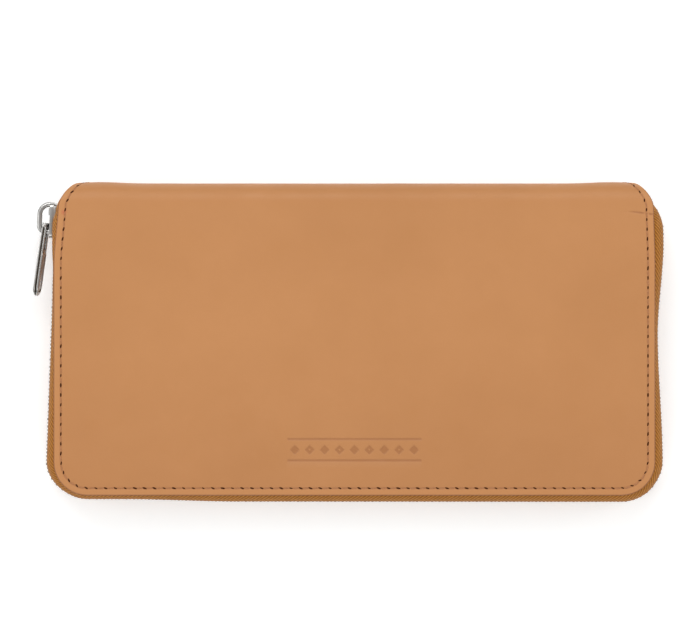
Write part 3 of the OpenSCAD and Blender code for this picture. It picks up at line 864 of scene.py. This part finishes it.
for (side_name, is_front), end_blend in zip(SIDES, (ZIP_BACK, ZIP_FRONT)):
    tape = zip_tape(f"twill_tape_{side_name}", is_front)
    finish_piece(tape, "zip_tape", blend=end_blend, nodes=(f"zip_tape_{side_name}",))
    row = zip_teeth(f"tooth_row_{side_name}", is_front)
    finish_piece(row, "zip_metal", blend=end_blend, nodes=(f"zip_teeth_{side_name}",))


# ---------------------------------------------------------------- bevelled metal pieces


class Solid:
    """One or more bevelled shells in a local frame, placed by a matrix."""

    def __init__(self, matrix):
        self.matrix = matrix
        self.mesh = bmesh.new()

    def _take(self, part, bevel):
        bmesh.ops.recalc_face_normals(part, faces=part.faces)
        sharp = [e for e in part.edges if len(e.link_faces) == 2 and e.calc_face_angle() > math.radians(50)]
        if bevel:
            bmesh.ops.bevel(
                part, geom=sharp, offset=bevel, offset_type="OFFSET", segments=3, profile=0.5,
                affect="EDGES", clamp_overlap=True)
        data = bpy.data.meshes.new("part")
        part.to_mesh(data)
        part.free()
        self.mesh.from_mesh(data)
        bpy.data.meshes.remove(data)

    def block(self, x, y, z, bevel):
        """Block between two values of each axis."""
        part = bmesh.new()
        size = Vector((x[1] - x[0], y[1] - y[0], z[1] - z[0]))
        middle = Vector((x[0] + x[1], y[0] + y[1], z[0] + z[1])) / 2
        bmesh.ops.create_cube(part, size=1, matrix=Matrix.Translation(middle) @ Matrix.Diagonal((*size, 1)))
        self._take(part, bevel)

    def plate(self, loops, x_from, x_to, bevel):
        """Flat plate in the local YZ plane. The first loop is its outline and the others are holes."""
        part = bmesh.new()
        for loop in loops:
            ring = [part.verts.new((x_from, y, z)) for y, z in loop]
            for a, b in zip(ring, ring[1:] + ring[:1]):
                part.edges.new((a, b))
        bmesh.ops.triangle_fill(part, use_beauty=True, edges=part.edges[:])
        grown = bmesh.ops.extrude_face_region(part, geom=part.faces[:])
        moved = [v for v in grown["geom"] if isinstance(v, bmesh.types.BMVert)]
        bmesh.ops.translate(part, verts=moved, vec=(x_to - x_from, 0, 0))
        self._take(part, bevel)

    def build(self, name, material, reshape=None):
        if reshape:
            for vert in self.mesh.verts:
                vert.co = reshape(vert.co)
        self.mesh.transform(self.matrix)
        mesh = bpy.data.meshes.new(name)
        self.mesh.to_mesh(mesh)
        self.mesh.free()
        return show(name, mesh, material, 38)


def chain_matrix(s):
    x, y, angle = chain_at(s)
    return Matrix.Translation((x, y, MID_Z)) @ Matrix.Rotation(angle, 4, "Z")


COIN_SCALE = 0.72
COIN_SLIDER_LOW, COIN_SLIDER_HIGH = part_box("coin_slider_body")
COIN_CHAIN_Y = (COIN_SLIDER_LOW.y + COIN_SLIDER_HIGH.y) / 2
COIN_SLIDER_X = (COIN_SLIDER_LOW.x + COIN_SLIDER_HIGH.x) / 2
SLIDER_MATRIX = chain_matrix(SLIDER_S)
COIN_MATRIX = (
    Matrix.Translation((COIN_SLIDER_X, COIN_CHAIN_Y, MID_Z))
    @ Matrix.Rotation(-math.pi / 2, 4, "Z")
    @ Matrix.Scale(COIN_SCALE, 4)
)

SLIDER_HALF = 5.9 * MM
CHANNEL_HALF = 1.6 * MM
PLATE_OUT = 2.85 * MM
SLIDER_HALF_W = 4.5 * MM
TAPE_SLOT_HALF = 0.65 * MM
PIVOT = Vector((4.0 * MM, 1.8 * MM, 0))
TAB_TILT = math.radians(5.8)
TAB_ROLL = math.radians(8)
TAB_HALF_T = 0.86 * MM
TAB_HALF_W = 4 * MM


def mirrored_loop(stations):
    """Outline that is the same on both sides of z = 0, with rounded corners.

    stations are y, half width and corner radius, from low y to high y.
    """
    left = [(y, -half, radius) for y, half, radius in stations]
    points = left[:1] + list(stations) + left[:0:-1]
    loop = []
    for i, (y, z, radius) in enumerate(points):
        here = Vector((y, z))
        before = (Vector(points[i - 1][:2]) - here).normalized()
        after = (Vector(points[(i + 1) % len(points)][:2]) - here).normalized()
        half = before.angle(after) / 2
        reach = radius / math.tan(half)
        centre = here + (before + after).normalized() * radius / math.sin(half)
        a = here + before * reach - centre
        b = here + after * reach - centre
        turn = a.angle_signed(b)
        steps = max(2, round(abs(turn) / math.radians(12)))
        loop += [tuple(centre + Matrix.Rotation(-turn * k / steps, 2) @ a) for k in range(steps + 1)]
    return loop


def slider_body(name, matrix):
    """Two domed plates, their edge flanges with the tape slot between, and the post that parts the teeth."""
    solid = Solid(matrix)
    outline = mirrored_loop([
        (-SLIDER_HALF, SLIDER_HALF_W, 1.8 * MM), (0, SLIDER_HALF_W, 6 * MM),
        (SLIDER_HALF, SLIDER_HALF_W - 0.8 * MM, 1.5 * MM),
    ])
    solid.plate([outline], CHANNEL_HALF, PLATE_OUT, 0.38 * MM)
    solid.plate([outline], -PLATE_OUT, -CHANNEL_HALF, 0.38 * MM)
    for side in (-1, 1):
        for face in (-1, 1):
            z = sorted((side * 3.62 * MM, side * (SLIDER_HALF_W - 0.02 * MM)))
            x = sorted((face * TAPE_SLOT_HALF, face * (CHANNEL_HALF + 0.3 * MM)))
            solid.block(x, (-SLIDER_HALF + 1.2 * MM, 0.4 * MM), z, 0.15 * MM)
    post_half = CHANNEL_HALF + 0.2 * MM
    solid.block((-post_half, post_half), (-5.6 * MM, -3.7 * MM), (-0.85 * MM, 0.85 * MM), 0.3 * MM)
    return solid.build(name, NICKEL)


def bail_route():
    """Middle line of the bail's bar, as outward and along: a D standing on the outer plate."""
    top_y, low_y, crown, foot_x = -5.2 * MM, 3.8 * MM, 6.2 * MM, 2.2 * MM
    route = [(foot_x, top_y), (2.9 * MM, top_y)]
    bend = 3.3 * MM
    for k in range(13):
        a = math.pi / 2 * k / 12
        route.append((crown - bend + bend * math.sin(a), top_y + bend - bend * math.cos(a)))
    bend = 2.0 * MM
    for k in range(9):
        a = math.pi / 2 * k / 8
        route.append((crown - bend + bend * math.cos(a), low_y - bend + bend * math.sin(a)))
    route += [(3.2 * MM, low_y), (foot_x, low_y)]
    return [Vector((x, y, 0)) for x, y in route]


def bail(name, matrix):
    """Rounded bar bent into the bail's arch, a little wider at its feet."""
    route = bail_route()
    last = len(route) - 1
    rings = []
    for k, point in enumerate(route):
        ahead = (route[min(k + 1, last)] - route[max(k - 1, 0)]).normalized()
        side = Vector((ahead.y, -ahead.x, 0))
        foot = 1 + 0.18 * (1 - smoothstep(min(k, last - k) / 4))
        ring = []
        for a in circle(16):
            c, s = math.cos(a), math.sin(a)
            bulge = (abs(c) ** 4 + abs(s) ** 4) ** -0.25
            height = Vector((0, 0, 1.25 * MM * s * bulge * foot))
            ring.append(matrix @ (point + side * (0.85 * MM * c * bulge) + height))
        rings.append(ring)
    shells = Shells()
    shells.loft(rings)
    return shells.build(name, NICKEL, 50)


def pull_tab(name, matrix, length):
    """Pull tab: a loop round the bail's bar, a blade with a raised rim on both faces, and a core between them
    coloured dark as painted shade.
    """
    tilt = Matrix.Rotation(-TAB_TILT, 4, "Z") @ Matrix.Rotation(TAB_ROLL, 4, "Y")
    local = matrix @ Matrix.Translation(PIVOT) @ tilt
    slot_end = 8.0 * MM
    w, t = TAB_HALF_W, TAB_HALF_T

    def outline(inset):
        return mirrored_loop([
            (-t + inset, w - 0.5 * MM - inset, 0.8 * MM), (slot_end, w - 0.2 * MM - inset, 10 * MM),
            (length - inset, w - inset, 3.4 * MM),
        ])

    slot = mirrored_loop([(t, 1.85 * MM, 0.7 * MM), (slot_end, 1.85 * MM, 1.2 * MM)])
    rim = 1.1 * MM
    blade_from, blade_to = slot_end + 0.6 * MM, length - 0.1 * MM
    low_w, high_w = w - 0.35 * MM, w - 0.1 * MM
    blade = mirrored_loop([(blade_from, low_w, 1.2 * MM), (blade_to, high_w, 3.3 * MM)])
    recess = mirrored_loop([
        (blade_from + rim, low_w - rim, 0.6 * MM), (blade_to - rim, high_w - rim, 2.2 * MM),
    ])
    # The core fills the gap between the faces; its dark colour is painted shade.
    shade_core = Solid(local)
    shade_core.plate([outline(0.32 * MM), slot], -t * 0.5, t * 0.5, 0)
    solid = Solid(local)
    for face in (-1, 1):
        solid.plate([outline(0), slot], face * t * 0.36, face * t * 0.82, 0.12 * MM)
    for face in (-1, 1):
        solid.plate([blade, recess], face * t * 0.7, face * t, 0.08 * MM)

    def thin_tip(co):
        reach = max(co.y - length + 2.6 * MM, 0) / (2.6 * MM)
        return Vector((co.x * (1 - 0.45 * reach**2), co.y, co.z))

    rings = []
    for u in (-1.0, -0.97, -0.88, -0.5, 0, 0.5, 0.88, 0.97, 1.0):
        radius = t * (0.55 if abs(u) == 1 else 0.85 if abs(u) > 0.95 else 1.0)
        section = [(radius * math.cos(a), radius * math.sin(a)) for a in circle(20)]
        rings.append([local @ Vector((x, y, u * low_w)) for x, y in section])
    bar = Shells()
    bar.loft(rings)
    return (
        solid.build(name, NICKEL, thin_tip),
        shade_core.build(name + "_core", SHADE_NICKEL, thin_tip),
        bar.build(name + "_bar", NICKEL, 60),
    )


for prefix, bail_name, pull_node, matrix, length in (
    ("", "zip_slider_bail", "pull_tab", SLIDER_MATRIX, 23.3 * MM),
    ("coin_", "coin_zip_bail", "coin_pull_tab", COIN_MATRIX, 14 * MM / COIN_SCALE),
):
    slider, pull = prefix + "slider", prefix + "pull"
    bail_node = "coin_bail" if prefix else "slider_bail"
    finish_piece(
        slider_body(prefix + "zip_slider", matrix), "slider_metal", slider, nodes=(prefix + "slider_body",))
    finish_piece(bail(bail_name, matrix), "slider_metal", slider, nodes=(bail_node,))
    tab, *others = pull_tab(prefix + "zip_pull", matrix, length)
    finish_piece(tab, "slider_metal", pull, nodes=(pull_node,))
    for other in others:
        finish_piece(other, "slider_metal", pull)


def metal_block(name, node, matrix, x, y, z, bevel, material, slot, body):
    solid = Solid(matrix)
    solid.block(x, y, z, bevel)
    finish_piece(solid.build(name, material), slot, body, nodes=(node,))


metal_block(
    "pawl", "lock_pawl", SLIDER_MATRIX, (2.7 * MM, 3.3 * MM), (-4.1 * MM, -1.7 * MM), (-0.9 * MM, 0.9 * MM),
    0.2 * MM, NICKEL, "slider_metal", "slider")
STOP_MATRIX = chain_matrix(0) @ Matrix.Translation((wander(0.7 * MM), 0, 0))
for side_name, is_front in SIDES:
    stop_z = (1.5 * MM, 3.5 * MM) if is_front else (-3.5 * MM, -1.5 * MM)
    metal_block(
        f"top_stop_{side_name}", f"zip_stop_{side_name}", STOP_MATRIX, (-0.9 * MM, 0.65 * MM), (0, 1.4 * MM),
        stop_z, 0.25 * MM, TOOTH_METAL, "zip_metal", side_name)
BOTTOM_STOP_MATRIX = chain_matrix(S_END) @ Matrix.Translation((wander(S_END - 2 * MM), 0, 0))
metal_block(
    "bottom_stop", "zip_bottom_stop", BOTTOM_STOP_MATRIX, (-1.1 * MM, 0.75 * MM), (-4 * MM, 0),
    (-2.2 * MM, 2.2 * MM), 0.4 * MM, TOOTH_METAL, "zip_metal", "centre")

# ---------------------------------------------------------------- linings and card pockets


def sheet_profile(t, radius):
    """Section of a thin sheet's edge, rounded over."""
    e = min(t * 0.5, 0.25 * MM)
    return [
        (radius, t), (1.2 * MM, t), (e * 1.2, t), (e * 0.35, t - e * 0.4), (0.0, t / 2), (e * 0.35, e * 0.4),
        (e * 1.2, 0.0), (1.2 * MM, 0.0), (radius, 0.0),
    ]


def flat_sheet(name, material, half, low, high, radius, thickness, place):
    """U-shaped sheet of even width; place takes x, y and the depth below its visible face."""
    step = 4 * MM
    cols = with_end(radius - half, half - radius, step)
    rows = with_end(low + radius, high, step)
    profile = sheet_profile(thickness, radius)
    return u_sheet(name, material, cols, rows, lambda s: half, low, radius, profile, place)[0]


def lining_depth(s):
    """Depth of the lining's visible face in the cover: it drops onto the leather at the fold."""
    over_board = LINING_Z + LINING_T
    over_leather = LEATHER_T + LINING_T
    return over_board + (over_leather - over_board) * smoothstep((s - FOLD_Y + 3 * MM) / (3 * MM))


def lining_half(side_name, front, fold, nodes):
    lining_low, lining_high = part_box("lining_back")
    half, low = lining_high.x, lining_low.y
    radius = 9 * MM
    cols = with_end(radius - half, half - radius, 4 * MM)
    rows = spread(low + radius, 40 * MM, 4 * MM) + with_end(40 * MM, MID_S, 0.8 * MM)

    def place(x, s, depth):
        return cover_point(x, s, lining_depth(s) - depth, front)

    def half_at(s):
        return half - 8 * MM * smoothstep((s - 34 * MM) / (20 * MM))

    profile = sheet_profile(LINING_T, radius)
    name = f"lining_cloth_{side_name}"
    obj = u_sheet(name, LINING, cols, rows, half_at, low, radius, profile, place)[0]
    finish_piece(obj, "lining_fabric", blend=fold, nodes=nodes)


lining_half("back", False, FOLD_BACK, ("lining_back", "lining_spine"))
lining_half("front", True, FOLD_FRONT, ("lining_front",))


def pocket_layers(side_name, front):
    """Four stepped card pockets with stitched mouths, and the stitch lines that part the two columns."""
    half = POCKET_HALF_W
    for number, (low, high) in enumerate(POCKETS, 1):

        def place(x, s, depth, top=high.z):
            puff = 0.12 * MM * math.cos(math.pi * min(abs(abs(x) - 46 * MM) / (46 * MM), 1) / 2)
            return x, s, face_up(top - depth + puff, front)

        label = f"{side_name}_{number}"
        obj = flat_sheet(
            f"pocket_{label}", POCKET_TAN, half, low.y, INNER_TOP_Y, 2.5 * MM, high.z - low.z, place)
        finish_piece(obj, "pocket_leather", side_name, nodes=(f"card_pocket_{label}",))
        mouth = [(x, low.y + 1.6 * MM) for x in spread(-half + 3 * MM, half - 3 * MM, 2 * MM)]
        thread = stitches(
            f"pocket_stitching_{label}", mouth, 2.6 * MM, 1.9 * MM, 0.14 * MM, place, THREAD, 20 + number)
        finish_piece(thread, "pocket_leather", side_name)

    def on_steps(x, s, depth):
        top = max(high.z for low, high in POCKETS if low.y <= s + 0.4 * MM)
        return x, s, face_up(top - depth, front)

    for label, x in (("left", -half + 2 * MM), ("middle", 0.0), ("right", half - 2 * MM)):
        line = [(x, y) for y in spread(POCKETS[0][0].y + 1 * MM, INNER_TOP_Y - 1 * MM, 1 * MM)]
        thread = stitches(
            f"pocket_seam_{side_name}_{label}", line, 2.6 * MM, 1.9 * MM, 0.16 * MM, on_steps, THREAD, 30)
        finish_piece(thread, "pocket_leather", side_name)


for side_name, is_front in SIDES:
    pocket_layers(side_name, is_front)

# ---------------------------------------------------------------- coin pocket


def coin_walls():
    """Two cloth walls with rounded edges."""
    wall_t = COIN_HIGH.z - COIN_LOW.z
    for side_name, front in SIDES:

        def place(x, s, depth, front=front):
            return x, s, face_up(COIN_LOW.z + depth, front)

        obj = flat_sheet(
            f"coin_cloth_{side_name}", LINING, COIN_HIGH.x, COIN_LOW.y, INNER_TOP_Y, 1.5 * MM, wall_t, place)
        finish_piece(obj, "lining_fabric", "centre", nodes=(f"coin_wall_{side_name}",))


def band(line, half):
    """Closed section of even thickness round a middle line of vectors."""
    near, far = [], []
    for k, point in enumerate(line):
        ahead = (line[min(k + 1, len(line) - 1)] - line[max(k - 1, 0)]).normalized()
        normal = half * Vector((ahead.y, -ahead.x))
        near.append(point + normal)
        far.append(point - normal)
    return near + far[::-1]


def strip_along_y(name, section, steps, centre_x, side, thickness, **finish):
    """Bent cloth strip along y. section is its middle line, as reach towards the middle and z.

    steps are pairs of y and the share of the reach there.
    """
    rings = []
    for y, share in steps:
        line = [Vector((reach * share, z)) for reach, z in section]
        rings.append([(side * (centre_x - edge.x), y, edge.y) for edge in band(line, thickness / 2)])
    shells = Shells()
    shells.loft(rings)
    finish_piece(shells.build(name, LINING, 50), "lining_fabric", **finish)


def bulge_line(start, height):
    """Line across the coin pocket's inside that bulges by height, as pairs of reach and z."""
    low, high = COIN_HIGH.z, BODY_T - COIN_HIGH.z
    steps = [k / 12 for k in range(13)]
    return [(start + height * math.sin(math.pi * t), low + (high - low) * t) for t in steps]


def coin_sides():
    """Soft strips that close the coin pocket's two ends, bent inward."""
    section = bulge_line(0.4 * MM, 2.2 * MM)
    steps = [(y, 1.0) for y in with_end(COIN_LOW.y + 2 * MM, INNER_TOP_Y - 2 * MM, 4 * MM)]
    for side_name, side in (("left", -1), ("right", 1)):
        strip_along_y(
            f"coin_end_{side_name}", section, steps, COIN_HIGH.x, side, 0.5 * MM,
            body="centre", nodes=(f"coin_side_{side_name}",))


def coin_base():
    """Closed end of the coin pocket and the cloth web that is sewn into the spine."""
    web_from, web_to = INNER_TOP_Y - 1 * MM, SPINE_Y - LEATHER_T - LINING_T
    web = [(web_from + (web_to - web_from) * k / 6, MID_Z) for k in range(7)]
    shells = Shells()
    for half, thickness, line in (
        (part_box("coin_base")[1].x, 0.6 * MM, bulge_line(INNER_TOP_Y - 1.6 * MM, 1.2 * MM)),
        (SPINE_HIGH.x - 3 * MM, 0.7 * MM, web),
    ):
        edges = band([Vector(p) for p in line], thickness / 2)
        shells.loft([[(x, edge.x, edge.y) for edge in edges] for x in with_end(-half, half, 6 * MM)])
    obj = shells.build("coin_pocket_base", LINING, 50)
    finish_piece(obj, "lining_fabric", "centre", nodes=("coin_base",))


def coin_point(s, out, z):
    """Point beside the coin zip: s runs along +X, out is towards -Y."""
    return s, COIN_CHAIN_Y - out, z


def coin_zip():
    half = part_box("coin_tape_back")[1].x
    seat_z = COIN_LOW.z - 0.2 * MM
    sewn = COIN_LOW.y + 5 * MM - COIN_CHAIN_Y
    section = [(-sewn + sewn * 0.8 * k / 5, seat_z) for k in range(6)]
    section += [(-0.7 * MM, seat_z + 0.08 * MM), (-0.22 * MM, seat_z + 0.45 * MM), (0, seat_z + 1.1 * MM)]
    section += [(0, MID_Z - 1.3 * MM)]
    first = COIN_SLIDER_X - 1 * MM
    pitch = 2 * MM
    seam = [(x, COIN_LOW.y + 3.6 * MM) for x in spread(-half + 2 * MM, half - 2 * MM, 2 * MM)]
    for side_name, front in SIDES:
        tape = Shells()
        sweep_tape(tape, section, 0.38 * MM, with_end(-half, half, 2 * MM), front, coin_point)
        obj = tape.build(f"coin_twill_tape_{side_name}", COIN_TWILL, 60)
        finish_piece(obj, "zip_tape", "centre", nodes=(f"coin_tape_{side_name}",))
        teeth = Shells()
        for i in range(int((half - 6 * MM - first) / pitch)):
            teeth.loft(tooth_rings(first + (i + (0.5 if front else 0)) * pitch, front, coin_point, 0.66))
        row = teeth.build(f"coin_tooth_row_{side_name}", TOOTH_METAL, 30)
        finish_piece(row, "zip_metal", "centre", nodes=(f"coin_teeth_{side_name}",))

        def place(x, s, depth, front=front):
            return x, s, face_up(COIN_LOW.z - 0.4 * MM + depth, front)

        thread = stitches(
            f"coin_tape_stitching_{side_name}", seam, 2.4 * MM, 1.7 * MM, 0.13 * MM, place, DARK_THREAD, 41)
        finish_piece(thread, "zip_tape", "centre")
    for label in ("closed", "open"):
        node = f"coin_stop_{label}"
        low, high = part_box(node)
        reach = (high - low) / 2
        metal_block(
            f"coin_end_stop_{label}", node, Matrix.Translation((low + high) / 2),
            (-reach.x, reach.x), (-reach.y, reach.y), (-reach.z, reach.z),
            0.25 * MM, TOOTH_METAL, "zip_metal", "centre")


coin_walls()
coin_sides()
coin_base()
coin_zip()

# ---------------------------------------------------------------- side gussets


def gussets():
    """Folded side strips with a soft crease, deeper towards the mouth."""
    deep, shallow = 16 * MM, 5 * MM
    mouth_y, end_y = COIN_LOW.y + 1 * MM, INNER_TOP_Y + 5.5 * MM
    taper = shallow / deep - 1
    steps = [(y, 1 + taper * (y - mouth_y) / (end_y - mouth_y)) for y in with_end(mouth_y, end_y, 3 * MM)]
    low, high = NOTE_Z + 0.25 * MM, COIN_LOW.z - 0.24 * MM
    for end_name, side in (("left", -1), ("right", 1)):
        for (side_name, front), fold in zip(SIDES, (GUSSET_BACK, GUSSET_FRONT)):
            section = [
                (deep * (1 - abs(2 * t - 1) ** 1.15), face_up(low + (high - low) * t, front))
                for t in (k / 24 for k in range(25))
            ]
            label = f"{end_name}_{side_name}"
            strip_along_y(
                f"gusset_cloth_{label}", section, steps, POCKET_HALF_W, side, 0.45 * MM,
                blend=fold, nodes=(f"gusset_{label}",))


gussets()

# ---------------------------------------------------------------- kept CAD nodes

BOARD = board_material()
for node in ("board_back", "board_front"):
    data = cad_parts[node].data
    data.materials.clear()
    data.materials.append(BOARD)

# ---------------------------------------------------------------- floor, lights and camera

far, floor_z = 3.0, -0.2 * MM
floor_mesh = bpy.data.meshes.new("floor")
corners = [(-far, -far, floor_z), (far, -far, floor_z), (far, far, floor_z), (-far, far, floor_z)]
floor_mesh.from_pydata(corners, [], [(0, 1, 2, 3)])
floor_mesh.materials.append(floor_material())
floor = bpy.data.objects.new("floor", floor_mesh)
bpy.context.scene.collection.objects.link(floor)


def area_light(name, place, width, height, power):
    """Soft light aimed at the origin."""
    light = bpy.data.lights.new(name, "AREA")
    light.shape = "RECTANGLE"
    light.size = width
    light.size_y = height
    light.energy = power
    obj = bpy.data.objects.new(name, light)
    obj.location = place
    obj.rotation_euler = (-Vector(place)).to_track_quat("-Z", "Y").to_euler()
    bpy.context.scene.collection.objects.link(obj)


area_light("key", (-0.2, 1.2, 1.55), 1.9, 1.0, 18.8)
area_light("left", (-1.5, -0.1, 1.3), 1.3, 1.3, 9.5)
area_light("right", (1.5, 0.1, 1.3), 1.3, 1.3, 9.5)
area_light("front", (0.1, -1.35, 1.4), 1.7, 0.9, 9.8)

# The sky is bright overhead and dim towards the horizon, so that metal shows dark and bright bands
sky = Nodes(bpy.data.worlds.new("studio"), "Background", "Generated")
sky.shader.inputs["Strength"].default_value = 0.42
sky.tree.links.new(sky.remap(sky.axis(sky.place, 2), 0.05, 0.75, 0.08, 1.0), sky.shader.inputs["Color"])
bpy.context.scene.world = sky.owner
bpy.context.scene.view_settings.view_transform = "Standard"

# The camera looks straight down on the front cover from far away
VIEW_W = 229.6 * MM
CAMERA_H = 4.0
SENSOR_MM = 36
camera = bpy.data.cameras.new("camera")
camera.sensor_fit = "HORIZONTAL"
camera.sensor_width = SENSOR_MM
camera.lens = SENSOR_MM * CAMERA_H / VIEW_W
camera_object = bpy.data.objects.new("camera", camera)
camera_object.location = (-1.45 * MM, 8.9 * MM, BODY_T + CAMERA_H)
bpy.context.scene.collection.objects.link(camera_object)
bpy.context.scene.camera = camera_object
